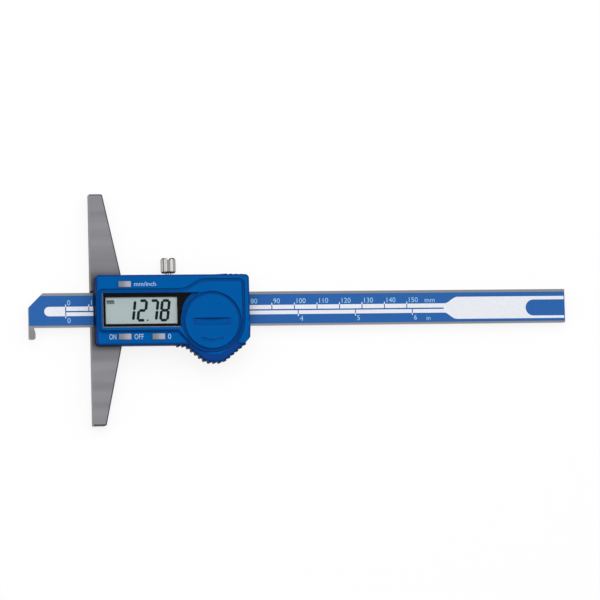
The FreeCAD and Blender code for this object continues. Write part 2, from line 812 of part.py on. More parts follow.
def make_grip():
    corners = [
        ("grip_start", "house_top - house_wall"), ("grip_end", "house_top - house_wall"),
        ("grip_end", "house_top + grip_raise / 3"), ("grip_crest", "house_top + grip_raise"),
        ("grip_start", "house_top"),
    ]
    body = prism("TopGrip", corners, ("house_back", "house_front - house_edge_round"))
    notches = []
    for index in range(3):
        place = (f"grip_notch_first + {index} * grip_notch_pitch", "house_top + grip_raise")
        notches.append(rod(f"GripNotch{index + 1}", "z", place, through("house_back", "house_front"),
                           "grip_notch_radius"))
    return cut("TopGripCut", body, notches)


def make_housing():
    sides = rectangle(("house_left", "house_right"), ("house_low", "house_top"))
    shell = prism("Shell", sides, ("house_back", "house_front"))
    dress(shell, "Fillet", "ShellCorners", upright_at(sides[:1] + sides[2:]), Radius="house_corner")
    low = value("house_low") + 0.01
    start = value("thumb_start")
    dress(shell, "Fillet", "ShellEdges",
          level_at("house_front", lambda point: point.y > low or point.x < start), Radius="house_edge_round")
    inside = prism("Inside", [
        ("inside_left", "inside_low"), ("inside_right - frame_corner_cut", "inside_low"),
        ("inside_right", "inside_low + frame_corner_cut"), ("inside_right", "inside_top"),
        ("inside_left", "inside_top"),
    ], ("house_back - overrun", "front_inside"))
    thumb = make_thumb_body()
    trimmed_shell = cut("ShellTrim", shell, [make_corner_slant()])
    panel, groove = make_panel()
    foot = rod("PanelFoot", "z", CELL, ("house_front - thumb_slope_height", "house_front"), "ring_radius")
    outer = fuse("HousingOuter", [trimmed_shell, thumb, make_teeth(thumb), make_grip(), foot, panel])
    hollow = cut("HousingHollow", outer, [inside])
    apron = block("Apron", ("house_left - apron_stand", "inside_left"),
                  ("channel_low + apron_gap", "channel_top - apron_gap"),
                  ("beam_front + apron_gap", "house_back + overrun"))
    depth = ("board_front + seat_gap", "front_inside + overlap")
    bosses = [rod(f"Boss{index}", "z", centre, depth, "boss_radius")
              for index, centre in enumerate(HOUSING_SCREWS, start=1)]
    well = rod("Well", "z", CELL, depth, "well_radius")
    limits = block("WellLimits", ("inside_left", "inside_right + overlap"),
                   ("inside_low - overlap", "inside_top"), ("board_front + seat_gap", "house_front"))
    trimmed = doc.addObject("Part::Common", "WellTrimmed")
    trimmed.Base = fuse("WellAndBosses", [well] + bosses)
    trimmed.Tool = limits
    full = fuse("HousingFull", [hollow, trimmed, apron])
    mouth = "(panel_front + overrun)"
    tools = [
        groove,
        rod("WellBore", "z", CELL, ("board_front", "plug_back"), "well_inner"),
        rod("PlugBore", "z", CELL, ("plug_back - seat_gap", mouth), "cover_plug_radius + cover_plug_gap"),
        rod("CoverRecess", "z", CELL, ("recess_floor", mouth), "cover_recess"),
        cone("RecessMouth", CELL, ("panel_front - cover_recess_ease", mouth),
             ("cover_recess", f"cover_recess + {mouth} - panel_front + cover_recess_ease")),
        block("WindowView", ("window_left + window_ledge", "view_right + window_ledge"),
              ("0 - window_low + window_ledge / 2", "window_top - window_ledge"),
              ("front_inside - overrun", "window_back")),
        window_shape("WindowSeat", "window_clearance", ("window_seat", mouth)),
    ]
    for index, (x, y) in enumerate(KEYS.values(), start=1):
        tools.append(block(f"KeySlot{index}", about(x, "(key_length / 2 + key_gap)"),
                           about(y, "(key_width / 2 + key_gap)"), through("front_inside", "house_front")))
    for index, centre in enumerate(HOUSING_SCREWS, start=1):
        tools.append(rod(f"PilotHole{index}", "z", centre,
                         ("house_back - overrun", "screw_reach + pilot_reach"), "screw_radius + tight_gap"))
    shaped = cut("HousingCut", full, tools)
    keep("housing", ease("Housing", shaped, window_mouth, "window_ease"))


def window_mouth(ends):
    """A test for the edges of the window's opening in the panel."""
    gap = value("window_clearance")
    left, right = value("window_left") - gap, value("cell_x")
    low, top = value("0 - window_low") - gap, value("window_top") + gap

    def at_mouth(point):
        inside = left - 0.01 < point.x < right and low - 0.01 < point.y < top + 0.01
        return inside and abs(point.z - value("panel_front")) < 0.001
    from_cell = [math.hypot(end.x - value("cell_x"), end.y - value("cell_y")) for end in ends]
    return all(at_mouth(end) for end in ends) and min(from_cell) > value("cover_recess + overrun")


def window_shape(name, gap, z):
    """The window's outline, bitten by the ring around the battery cover, widened by a gap."""
    plate = block(name + "Plate", (f"window_left - {gap}", "cell_x"),
                  (f"0 - window_low - {gap}", f"window_top + {gap}"), z)
    bite = rod(name + "Bite", "z", CELL, (f"{z[0]} - overrun", f"{z[1]} + overrun"), f"ring_radius - {gap}")
    return cut(name, plate, [bite])


def make_window():
    keep("window_lens", window_shape("WindowLens", "0", ("window_back", "window_front")))


# Board, display and keys.

def make_board():
    board = block("Board", ("board_left", "board_right"), ("board_low", "board_top"),
                  ("board_back", "board_front"))
    depth = through("board_back", "board_front")
    holes = [rod(f"BoardHole{index}", "z", centre, depth, "screw_radius + loose_gap")
             for index, centre in enumerate(HOUSING_SCREWS, start=1)]
    holes += [rod(f"BoardFixing{index}", "z", centre, depth, "board_screw_radius + close_gap")
              for index, centre in enumerate(BOARD_SCREWS, start=1)]
    keep("slider_board", cut("SliderBoard", board, holes))
    middle_x, middle_y = "(view_left + view_right) / 2", "(view_top + view_low) / 2"
    chip = block("Chip", about(middle_x, "chip_side / 2"), about(middle_y, "chip_side / 2"),
                 ("board_front", "board_front + chip_height"))
    keep("processor", chip)


def make_display():
    panel = block("LcdPanel", ("lcd_left", "lcd_right"), ("lcd_low", "lcd_top"), ("lcd_back", "lcd_front"))
    keep("lcd_panel", panel)
    strips = [
        block(f"Connector{index}", ("lcd_left", "lcd_right"), span, ("board_front", "lcd_back"))
        for index, span in enumerate([("lcd_low", "lcd_low + connector_width"),
                                      ("lcd_top - connector_width", "lcd_top")], start=1)
    ]
    keep("lcd_connectors", group("LcdConnectors", strips))
    gap, wall = "holder_clearance", "(holder_clearance + holder_wall)"
    frame = block("HolderFrame", (f"lcd_left - {wall}", f"lcd_right + {wall}"),
                  (f"lcd_low - {wall}", f"lcd_top + {wall}"), ("board_front", "lcd_front + seat_gap"))
    room = block("HolderRoom", (f"lcd_left - {gap}", f"lcd_right + {gap}"),
                 (f"lcd_low - {gap}", f"lcd_top + {gap}"), through("board_front", "lcd_front"))
    keep("lcd_holder", cut("LcdHolder", frame, [room]))


def make_keys():
    pads = []
    for label, (x, y) in KEYS.items():
        name = label.title().replace("_", "")
        top = rectangle(about(x, "key_length / 2"), about(y, "key_width / 2"))
        body = prism(name, top, ("key_flange_back", "key_top"))
        dress(body, "Fillet", name + "Rounds", level_at("key_top"), Radius="key_round")
        flange = block(name + "Flange", about(x, "(key_length / 2 + key_flange)"),
                       about(y, "(key_width / 2 + key_flange / 2)"), ("key_flange_back", "key_flange_top"))
        keep(label, fuse(name + "Key", [body, flange]))
        foot = rod(name + "PadFoot", "z", (x, y), ("board_front", "board_front + key_pad_foot_height"),
                   "key_pad_foot")
        dome = cone(name + "PadDome", (x, y), ("board_front + key_pad_foot_height", "key_pad_top"),
                    ("key_pad_foot", "key_pad_radius"))
        pads.append(fuse(name + "Pad", [foot, dome]))
    keep("key_pads", group("KeyPads", pads))


# Battery, its contacts and its cover.

def make_battery():
    can = rod("CellCan", "z", CELL, ("cell_back + contact_thick", "cell_front"), "cell_radius")
    cap = rod("CellCap", "z", CELL, ("cell_back", "cell_front - cell_rim"), "cell_radius - cell_rim")
    keep("battery", fuse("Battery", [can, cap]))
    width, end = about("cell_y", "contact_width / 2"), "cell_x + contact_length / 2"
    foot = block("MinusFoot", about("cell_x", "contact_length / 2"), width,
                 ("board_front", "board_front + contact_thick"))
    riser = block("MinusRiser", (f"{end} - contact_thick", end), width, ("board_front", "cell_back"))
    tongue = block("MinusTongue", ("cell_x", end), width, ("cell_back - contact_thick", "cell_back"))
    keep("contact_minus", fuse("ContactMinus", [foot, riser, tongue]))
    inner, outer = "cell_radius + tight_gap", "cell_radius + tight_gap + contact_thick"
    band = ring("PlusBand", CELL, ("board_front", "cell_front - contact_drop"), inner, outer)
    reach = block("PlusReach", about("cell_x", "contact_width / 2"),
                  ("cell_y + cell_radius / 2", "cell_y + cell_radius + overrun"),
                  ("board_front", "cell_front"))
    clip = doc.addObject("Part::Common", "PlusClip")
    clip.Base = band
    clip.Tool = reach
    keep("contact_plus", clip)


def make_cover():
    flange = rod("CoverFlange", "z", CELL, ("cover_seat", "cover_front - cover_chamfer"), "cover_radius")
    bevel = cone("CoverBevel", CELL, ("cover_front - cover_chamfer", "cover_front"),
                 ("cover_radius", "cover_radius - cover_chamfer"))
    plug = rod("CoverPlug", "z", CELL, ("plug_back", "cover_seat"), "cover_plug_radius")
    slot = rod("CoinSlot", "y", ("cell_x", "cover_front - coin_slot_depth + coin_radius"),
               about("cell_y", "coin_slot_width / 2"), "coin_radius")
    centre = FreeCAD.Vector(value("cell_x"), value("cell_y"), value("cover_front - mark_depth"))
    radii = (value("mark_radius - mark_width / 2"), value("mark_radius + mark_width / 2"))
    half, height, up = value("mark_half_angle"), value("mark_depth + overrun"), FreeCAD.Vector(0, 0, 1)
    sectors = [Part.makeCylinder(radius, height, centre, up, 2 * half) for radius in radii]
    mark = doc.addObject("Part::Feature", "CoverMark")
    mark.Shape = sectors[1].cut(sectors[0])
    mark.Placement = FreeCAD.Placement(FreeCAD.Vector(), FreeCAD.Rotation(up, 270 - half), centre)
    blank = cut("CoverCut", fuse("CoverBlank", [flange, bevel, plug]), [slot, mark])
    front, limit = value("cover_front"), value("coin_slot_length / 2") + 0.01

    def sunk_mouth(ends):
        return all(abs(end.z - front) < 0.001 and abs(end.x - centre.x) < limit
                   and math.hypot(end.x - centre.x, end.y - centre.y) < value("mark_radius + mark_width")
                   for end in ends)
    keep("battery_cover", ease("BatteryCover", blank, sunk_mouth, "coin_slot_ease"))
    inner = "cover_plug_radius + seal_inner_gap"
    keep("cover_seal", ring("CoverSeal", CELL, ("seal_back", "seal_front"), inner, f"{inner} + seal_width"))


# Screws.

def make_screws():
    housing_screws = []
    reach, half = "screw_cross_reach", "screw_cross_width / 2"
    for index, centre in enumerate(HOUSING_SCREWS, start=1):
        shank = rod(f"ScrewShank{index}", "z", centre, ("screw_head_back", "screw_reach"), "screw_radius")
        head = rod(f"ScrewHead{index}", "z", centre, ("screw_head_back", "screw_head_front"),
                   "screw_head_radius")
        x, y = centre
        arms = [
            block(f"ScrewCross{index}{way}", about(x, along), about(y, across),
                  ("0 - overrun", "screw_head_back + screw_cross_depth"))
            for way, along, across in [("Along", reach, half), ("Across", half, reach)]
        ]
        housing_screws.append(cut(f"HousingScrew{index}", fuse(f"ScrewBlank{index}", [shank, head]), arms))
    keep("housing_screws", group("HousingScrews", housing_screws))
    board_screws = []
    for index, centre in enumerate(BOARD_SCREWS, start=1):
        shank = rod(f"BoardShank{index}", "z", centre,
                    ("board_back - board_screw_depth", "board_front + overlap"), "board_screw_radius")
        head = rod(f"BoardHead{index}", "z", centre, ("board_front", "board_front + board_screw_head_height"),
                   "board_screw_head_radius")
        board_screws.append(fuse(f"BoardScrew{index}", [shank, head]))
    keep("board_screws", group("BoardScrews", board_screws))


make_base_frame()
make_beam()
make_gib()
make_lock_screw()
make_housing()
make_window()
make_board()
make_display()
make_keys()
make_battery()
make_cover()
make_screws()
doc.recompute()

for item in doc.Objects:
    if "Invalid" in item.State or "Error" in item.State:
        raise RuntimeError(f"{item.Name} failed: {item.State}")
for part in parts:
    if part.Shape.isNull() or not part.Shape.isValid() or not part.Shape.Solids:
        raise RuntimeError(f"{part.Label} has no valid shape")

os.makedirs("parts", exist_ok=True)
for part in parts:
    part.Shape.exportStep(f"parts/{part.Label}.step")
    print(part.Label, len(part.Shape.Solids), round(part.Shape.Volume, 1))
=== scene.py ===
"""Looks of the digital depth gauge: materials, printed scale, display, lettering, light and camera."""

import math

import bmesh
import bpy
from mathutils import Euler, Matrix, Vector


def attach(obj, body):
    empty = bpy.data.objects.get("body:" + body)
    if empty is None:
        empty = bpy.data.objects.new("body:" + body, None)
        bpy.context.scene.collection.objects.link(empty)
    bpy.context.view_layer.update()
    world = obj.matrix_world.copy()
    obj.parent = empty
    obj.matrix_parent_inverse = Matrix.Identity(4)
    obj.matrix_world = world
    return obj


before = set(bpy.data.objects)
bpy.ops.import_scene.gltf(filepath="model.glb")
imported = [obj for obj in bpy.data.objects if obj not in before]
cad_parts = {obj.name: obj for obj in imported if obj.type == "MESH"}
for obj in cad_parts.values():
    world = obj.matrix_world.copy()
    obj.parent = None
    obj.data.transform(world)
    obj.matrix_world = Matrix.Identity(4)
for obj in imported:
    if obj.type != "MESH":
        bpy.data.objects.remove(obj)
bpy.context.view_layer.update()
MM = 0.001


def box_of(node):
    """The low and high corner of a CAD node at rest, in mm."""
    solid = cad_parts[node]
    corners = [solid.matrix_world @ Vector(corner) / MM for corner in solid.bound_box]
    low = Vector([min(corner[axis] for corner in corners) for axis in range(3)])
    high = Vector([max(corner[axis] for corner in corners) for axis in range(3)])
    return low, high


def middle_of(node):
    low, high = box_of(node)
    return (low + high) / 2


# Camera, fitted to the printed ticks and the long edges in the photograph

CAMERA_PLACE = (-184.94, -130.23, 1468.4)      # mm
CAMERA_ANGLES = (-5.222, 10.657, 0.504)        # degrees
SENSOR_WIDTH = 36.0
LENS = 206.1


def add_camera():
    """The camera at the photograph's viewing angle."""
    angles = [math.radians(angle) for angle in CAMERA_ANGLES]
    turn = Euler(angles, "XYZ").to_matrix().transposed()
    camera = bpy.data.objects.new("camera", bpy.data.cameras.new("camera"))
    camera.matrix_world = Matrix.Translation(Vector(CAMERA_PLACE) * MM) @ turn.to_4x4()
    camera.data.sensor_width = SENSOR_WIDTH
    camera.data.lens = LENS
    camera.data.clip_start = 0.01
    bpy.context.collection.objects.link(camera)
    bpy.context.scene.camera = camera


# Shader nodes that the light, the floor and the materials share

def shader_math(tree, operation, *values):
    """The output of a Math node that takes sockets and numbers."""
    node = tree.nodes.new("ShaderNodeMath")
    node.operation = operation
    for socket, value in zip(node.inputs, values):
        if isinstance(value, float):
            socket.default_value = value
        else:
            tree.links.new(value, socket)
    return node.outputs[0]


def map_range(tree, factor, bounds, levels=(0.0, 1.0), curve="LINEAR"):
    """Carry a factor from between two bounds to between two levels, and hold it there."""
    node = tree.nodes.new("ShaderNodeMapRange")
    node.interpolation_type = curve
    for socket, number in zip(("From Min", "From Max", "To Min", "To Max"), (*bounds, *levels)):
        node.inputs[socket].default_value = number
    tree.links.new(factor, node.inputs["Value"])
    return node.outputs[0]


def component(tree, vector, axis):
    """One of the three numbers of a vector socket."""
    split = tree.nodes.new("ShaderNodeSeparateXYZ")
    tree.links.new(vector, split.inputs[0])
    return split.outputs[axis]


# Light

TARGET = (0.05, 0.0, 0.0)                      # the point on the gauge that the lamp faces, m
LAMP_TOWARDS = (-0.12, 0.35, 0.93)
LAMP_DISTANCE = 1.3
LAMP_SIZE = 1.2
LAMP_LEVEL = 0.50                              # what the lamp adds to a white top face
DOME_HEIGHTS = (0.25, 0.95)                    # the heights between which the studio lightens
DOME_LEVELS = (0.24, 0.45)
SOFT_BOXES = [                                 # each towards, half its angle in degrees, level
    ((0.75, 0.35, 0.56), 25, 0.9),
    ((-0.75, 0.10, 0.65), 22, 0.7),
]
SOFT_EDGE = 0.3                                # a soft box fades over this share of that angle, either way


def add_lamp():
    """A soft square lamp above the object, unseen in reflections."""
    lamp = bpy.data.lights.new("key", "AREA")
    lamp.shape = "SQUARE"
    lamp.size = LAMP_SIZE
    towards = Vector(LAMP_TOWARDS).normalized()
    lamp.energy = LAMP_LEVEL * (math.pi * LAMP_DISTANCE) ** 2 / towards.z
    lamp_object = bpy.data.objects.new("key", lamp)
    lamp_object.location = Vector(TARGET) + towards * LAMP_DISTANCE
    lamp_object.rotation_euler = towards.to_track_quat("Z", "Y").to_euler()
    lamp_object.visible_glossy = False
    bpy.context.collection.objects.link(lamp_object)


def soft_box(tree, direction, towards, half_angle, level):
    """A round patch of light in the studio, bright in its middle and soft at its edge."""
    nearness = tree.nodes.new("ShaderNodeVectorMath")
    nearness.operation = "DOT_PRODUCT"
    nearness.inputs[1].default_value = Vector(towards).normalized()
    tree.links.new(direction, nearness.inputs[0])
    edges = [math.cos(math.radians(half_angle * share)) for share in (1 + SOFT_EDGE, 1 - SOFT_EDGE)]
    return map_range(tree, nearness.outputs["Value"], edges, (0.0, level), "SMOOTHSTEP")


def add_world():
    """A dark studio, lighter overhead, with a soft box on either side that the bright metal shows."""
    world = bpy.data.worlds.new("studio")
    world.use_nodes = True
    bpy.context.scene.world = world
    tree = world.node_tree
    direction = tree.nodes.new("ShaderNodeTexCoord").outputs["Generated"]
    light = map_range(tree, component(tree, direction, "Z"), DOME_HEIGHTS, DOME_LEVELS, "SMOOTHSTEP")
    for towards, half_angle, level in SOFT_BOXES:
        light = shader_math(tree, "ADD", light, soft_box(tree, direction, towards, half_angle, level))
    background = tree.nodes["Background"]
    background.inputs["Color"].default_value = (1.0, 1.0, 1.0, 1)
    tree.links.new(light, background.inputs["Strength"])


# Floor

FLOOR_REACH = 3.0                              # m
FLOOR_ALBEDO = 0.35
FLOOR_GLOW = 1.68                              # what whitens the floor in the picture alone
FLOOR_SHARE = 0.5                              # how much of what is seen is glow; the rest keeps the shadow


def seen_directly(tree):
    """1 for what the camera, a reflection or a clear piece shows, 0 for light that bounces on."""
    path = tree.nodes.new("ShaderNodeLightPath")
    seen = path.outputs["Is Camera Ray"]
    for ray in ("Is Glossy Ray", "Is Transmission Ray"):
        seen = shader_math(tree, "MAXIMUM", seen, path.outputs[ray])
    return seen


def floor_white():
    """A pale matt floor that looks white to the camera."""
    material = new_material("floor_white", (FLOOR_ALBEDO,) * 3, 0.9, Specular_IOR_Level=0.0)
    tree = material.node_tree
    glow = tree.nodes.new("ShaderNodeEmission")
    glow.inputs["Strength"].default_value = FLOOR_GLOW
    mix = tree.nodes.new("ShaderNodeMixShader")
    tree.links.new(shader_math(tree, "MULTIPLY", seen_directly(tree), FLOOR_SHARE), mix.inputs["Fac"])
    tree.links.new(tree.nodes["Principled BSDF"].outputs[0], mix.inputs[1])
    tree.links.new(glow.outputs[0], mix.inputs[2])
    tree.links.new(mix.outputs[0], tree.nodes["Material Output"].inputs["Surface"])
    return material


def add_floor():
    """A plain floor that keeps a soft shadow."""
    mesh = bpy.data.meshes.new("floor")
    corners = rectangle(-FLOOR_REACH, -FLOOR_REACH, FLOOR_REACH, FLOOR_REACH)
    mesh.from_pydata([(x, y, 0) for x, y in corners], [], [(0, 1, 2, 3)])
    mesh.materials.append(floor_white())
    floor = bpy.data.objects.new("floor", mesh)
    bpy.context.collection.objects.link(floor)


# What the materials are made of

NOISE_BOUNDS = (0.25, 0.75)                    # nearly all of a noise lies between these
TINT_BOUNDS = (0.3, 0.7)


def new_material(name, colour, roughness, **sockets):
    """A material with one Principled shader and constants on its sockets."""
    material = bpy.data.materials.new(name)
    material.use_nodes = True
    shader = material.node_tree.nodes["Principled BSDF"]
    shader.inputs["Base Color"].default_value = (*colour, 1)
    shader.inputs["Roughness"].default_value = roughness
    for socket, constant in sockets.items():
        shader.inputs[socket.replace("_", " ")].default_value = constant
    return material


def noise(material, scale, stretch=(1, 1, 1), detail=3.0):
    """A noise over object coordinates, scale per metre, and its factor."""
    tree = material.node_tree
    coordinates = tree.nodes.new("ShaderNodeTexCoord")
    mapping = tree.nodes.new("ShaderNodeMapping")
    mapping.inputs["Scale"].default_value = stretch
    texture = tree.nodes.new("ShaderNodeTexNoise")
    texture.inputs["Scale"].default_value = scale
    texture.inputs["Detail"].default_value = detail
    tree.links.new(coordinates.outputs["Object"], mapping.inputs["Vector"])
    tree.links.new(mapping.outputs[0], texture.inputs["Vector"])
    return texture.outputs["Fac"]


def along_x(material):
    """A factor that grows from 0 to 1 along a piece's length."""
    tree = material.node_tree
    coordinates = tree.nodes.new("ShaderNodeTexCoord")
    gradient = tree.nodes.new("ShaderNodeTexGradient")
    tree.links.new(coordinates.outputs["Generated"], gradient.inputs["Vector"])
    return gradient.outputs["Fac"]


def rise(material):
    """A factor that tells how far a face's normal rises: 0 for a wall, 1 for a top face."""
    tree = material.node_tree
    coordinates = tree.nodes.new("ShaderNodeTexCoord")
    return shader_math(tree, "ABSOLUTE", component(tree, coordinates.outputs["Normal"], "Z"))


def distance(material, axis, low, high):
    """A factor that grows from 0 to 1 between two distances in mm from the origin, along one axis."""
    tree = material.node_tree
    coordinates = tree.nodes.new("ShaderNodeTexCoord")
    size = shader_math(tree, "ABSOLUTE", component(tree, coordinates.outputs["Object"], axis))
    return map_range(tree, size, (low * MM, high * MM))


def shade(colour, share):
    return tuple(channel * share for channel in colour)


def greys(stops):
    return [(place, (share, share, share)) for place, share in stops]


def colour_ramp(material, factor, stops):
    """A colour that follows a factor through stops of (place, colour)."""
    ramp = material.node_tree.nodes.new("ShaderNodeValToRGB")
    elements = ramp.color_ramp.elements
    while len(elements) < len(stops):
        elements.new(0.5)
    for element, (place, colour) in zip(elements, stops):
        element.position = place
        element.color = (*colour, 1)
    material.node_tree.links.new(factor, ramp.inputs["Fac"])
    return ramp.outputs[0]


def drive(material, output, socket):
    """Link an output to a socket of the material's shader."""
    material.node_tree.links.new(output, material.node_tree.nodes["Principled BSDF"].inputs[socket])


def tint(material, factor, low, high):
    """Drive the base colour by a factor between two colours."""
    drive(material, colour_ramp(material, factor, list(zip(TINT_BOUNDS, (low, high)))), "Base Color")


def deepen(material, factor, stops):
    """Multiply the base colour by what the factor finds in stops of (place, colour)."""
    tree = material.node_tree
    product = tree.nodes.new("ShaderNodeVectorMath")
    product.operation = "MULTIPLY"
    before = tree.nodes["Principled BSDF"].inputs["Base Color"].links[0].from_socket
    tree.links.new(before, product.inputs[0])
    tree.links.new(colour_ramp(material, factor, stops), product.inputs[1])
    drive(material, product.outputs[0], "Base Color")


def roughen(material, factor, low, high):
    """Drive the roughness by a factor between two values."""
    drive(material, map_range(material.node_tree, factor, NOISE_BOUNDS, (low, high)), "Roughness")


def bump(material, factor, height):
    """Raise the surface by a factor, height in metres."""
    tree = material.node_tree
    node = tree.nodes.new("ShaderNodeBump")
    node.inputs["Strength"].default_value = 1.0
    node.inputs["Distance"].default_value = height
    tree.links.new(factor, node.inputs["Height"])
    drive(material, node.outputs[0], "Normal")


# Materials

BASE_GREY = (0.50, 0.50, 0.54)
RULE_GREY = (0.53, 0.53, 0.56)
CHROME = (0.80, 0.775, 0.765)
RIM_SHARE = 0.06                               # how dark the chrome's painted rim is where it curves away from sight
RIM_BOUNDS = (0.32, 0.58)
BLUE = (0.0012, 0.105, 0.385)
BLUE_SHEEN = (0.1, 0.45, 1.0)
SHADOW = (6.0, 0.63, 0.84)                     # what the blue is multiplied by on slopes, towards violet: painted shade
TOOTH_DROP = 2.0                               # the teeth's tops below the housing's highest face, mm
SHADE_REACH = 9.0                              # how far the painted shade reaches on the base beside the housing, mm
FOIL = (0.026, 0.135, 0.435)


def metal(name, colour, polish, scale, stretch=(1, 1, 1)):
    """Bare metal whose roughness wanders between the two values of its polish."""
    material = new_material(name, colour, polish[0], Metallic=1.0)
    roughen(material, noise(material, scale, stretch), *polish)
    return material


def ground_steel(name, colour, roughness, stretch, side_shade):
    """Steel ground in one direction, stretch being short along the grain; the stops for its sides darken
    them as painted shade, by how steeply they stand.
    """
    material = new_material(name, colour, roughness, Metallic=1.0)
    grain = noise(material, 900, stretch, detail=4.0)
    bands = noise(material, 260, stretch, detail=2.0)
    tint(material, bands, shade(colour, 0.88), shade(colour, 1.12))
    # painted shade: faces darken as they stand steeper
    deepen(material, rise(material), greys(side_shade))
    roughen(material, grain, roughness - 0.05, roughness + 0.05)
    bump(material, grain, 2e-6)
    return material


def base_steel():
    """The base's steel, with painted shade on its sides and on its top towards the housing."""
    side_shade = [(0.2, 0.42), (0.5, 0.18), (0.8, 0.18), (0.97, 1.0)]
    material = ground_steel("ground_steel", BASE_GREY, 0.48, (0.05, 1, 1), side_shade)
    shell_edge = box_of("housing")[1].y
    # painted shade on the base's top, darkest beside the housing
    beside_shell = distance(material, "Y", shell_edge, shell_edge + SHADE_REACH)
    deepen(material, beside_shell, greys([(0, 0.55), (0.2, 0.74), (0.5, 0.9), (1, 1)]))
    return material


# The beam's ground steel, its sides darkened as painted shade.
def rule_steel():
    return ground_steel("rule_steel", RULE_GREY, 0.36, (0.02, 1, 1), [(0.5, 0.42), (0.97, 1.0)])


def polished_chrome():
    """Chrome with a painted dark rim where it curves away from sight, standing in for the reflection of a
    dark room.
    """
    material = metal("polished_chrome", CHROME, (0.13, 0.2), 300)
    # painted reflection: the colour darkens towards the rim as seen
    facing = material.node_tree.nodes.new("ShaderNodeLayerWeight")
    facing.inputs["Blend"].default_value = 0.5
    stops = list(zip(RIM_BOUNDS, (CHROME, shade(CHROME, RIM_SHARE))))
    drive(material, colour_ramp(material, facing.outputs["Facing"], stops), "Base Color")
    shader = material.node_tree.nodes["Principled BSDF"]
    shader.inputs["Specular Tint"].default_value = (RIM_SHARE, RIM_SHARE, RIM_SHARE, 1)
    return material


def moulded_plastic(name, colour, roughness, grain_height, **sockets):
    """Satin moulded plastic with a fine spark-eroded grain."""
    material = new_material(name, colour, roughness, **{"Specular_IOR_Level": 0.3, **sockets})
    grain = noise(material, 4200, detail=2.0)
    cloud = noise(material, 120, detail=2.0)
    tint(material, cloud, shade(colour, 0.96), shade(colour, 1.04))
    roughen(material, grain, roughness - 0.05, roughness + 0.06)
    bump(material, grain, grain_height)
    return material


def blue_plastic():
    """The housing's blue, with painted shade on slopes and walls and again below the tops of the teeth."""
    material = moulded_plastic("blue_plastic", BLUE, 0.42, 4e-6, Specular_IOR_Level=0.03,
                               Specular_Tint=(*BLUE_SHEEN, 1))
    # painted shade on slopes and walls, by how steeply they stand
    wall_shade = [(0.2, shade(SHADOW, 0.45)), (0.7, shade(SHADOW, 0.9)), (0.93, SHADOW), (0.985, (1, 1, 1))]
    deepen(material, rise(material), wall_shade)
    # painted shade between the teeth, below their tops
    teeth = box_of("housing")[1].z - TOOTH_DROP
    deepen(material, distance(material, "Z", teeth - 0.1, teeth + 0.3), greys([(0.3, 0.35), (1, 1)]))
    return material


def blue_foil():
    """The beam's printed foil, finely mottled."""
    material = new_material("blue_foil", FOIL, 0.38, Specular_IOR_Level=0.15)
    cloud = noise(material, 2200, detail=2.0)
    tint(material, cloud, shade(FOIL, 0.94), shade(FOIL, 1.06))
    bump(material, cloud, 1.5e-6)
    return material


def silver_paint():
    """The buttons' silver, with painted light: lighter towards the right end of each."""
    material = new_material("silver_paint", (0.50, 0.49, 0.55), 0.35, Metallic=0.35)
    # painted light: darker at the left end, lighter at the right
    tint(material, along_x(material), (0.27, 0.28, 0.32), (0.50, 0.48, 0.60))
    roughen(material, noise(material, 9000, detail=1.0), 0.3, 0.42)
    return material


def clear_acrylic():
    """The window, nearly clear."""
    material = new_material("clear_acrylic", (0.02, 0.02, 0.024), 0.04, Alpha=0.06, Specular_IOR_Level=0.12)
    roughen(material, noise(material, 200), 0.03, 0.06)
    return material


def display_glass():
    """The grey-green of a display's unlit ground."""
    material = new_material("display_glass", (0.56, 0.67, 0.67), 0.28, Specular_IOR_Level=0.1)
    tint(material, noise(material, 45, detail=1.0), (0.54, 0.65, 0.655), (0.58, 0.69, 0.685))
    return material


def dress_nodes():
    """Give every CAD node its material."""
    looks = {
        base_steel(): ["base_frame"],
        rule_steel(): ["beam"],
        metal("bronze", (0.55, 0.36, 0.17), (0.28, 0.42), 700, (0.05, 1, 1)): ["gib_strip"],
        metal("plated_steel", (0.42, 0.42, 0.44), (0.24, 0.38), 1200): [
            "gib_screws", "housing_screws", "board_screws"],
        metal("nickel", (0.68, 0.66, 0.62), (0.17, 0.3), 800): ["battery", "contact_minus", "contact_plus"],
        polished_chrome(): ["lock_stud", "lock_knob"],
        blue_plastic(): ["housing", "battery_cover"],
        blue_foil(): ["scale_label"],
        silver_paint(): ["button_mm_inch", "button_on_off", "button_zero"],
        clear_acrylic(): ["window_lens"],
        display_glass(): ["lcd_panel"],
        moulded_plastic("board_laminate", (0.02, 0.12, 0.05), 0.4, 1e-6): ["scale_board", "slider_board"],
        moulded_plastic("chip_resin", (0.02, 0.02, 0.02), 0.5, 2e-6): ["processor"],
        moulded_plastic("black_plastic", (0.015, 0.015, 0.017), 0.45, 3e-6): ["lcd_holder"],
        moulded_plastic("black_rubber", (0.02, 0.02, 0.02), 0.7, 3e-6): ["cover_seal"],
        moulded_plastic("conductive_rubber", (0.30, 0.06, 0.13), 0.6, 2e-6): ["lcd_connectors"],
        moulded_plastic("silicone", (0.55, 0.55, 0.52), 0.6, 2e-6): ["key_pads"],
    }
    for material, nodes in looks.items():
        for node in nodes:
            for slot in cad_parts[node].material_slots:
                slot.material = material


# Flat printing

PRINT_THICK = 0.012                            # mm


def ink(name, low, high, scale, roughness=0.4, **sockets):
    """A printed colour, mottled between two shades."""
    material = new_material(name, low, roughness, **sockets)
    tint(material, noise(material, scale), low, high)
    return material


def rectangle(left, low, right, high):
    return [(left, low), (right, low), (right, high), (left, high)]


def arc(centre, radius, start, end, steps=16):
    """Points along an arc, its angles in degrees."""
    angles = [math.radians(start + (end - start) * step / steps) for step in range(steps + 1)]
    return [(centre[0] + radius * math.cos(angle), centre[1] + radius * math.sin(angle)) for angle in angles]


def add_piece(name, build, material, body):
    """Make a piece that rides on a body out of a built mesh."""
    mesh = bpy.data.meshes.new(name)
    build.to_mesh(mesh)
    build.free()
    mesh.materials.append(material)
    piece = bpy.data.objects.new(name, mesh)
    bpy.context.collection.objects.link(piece)
    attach(piece, body)


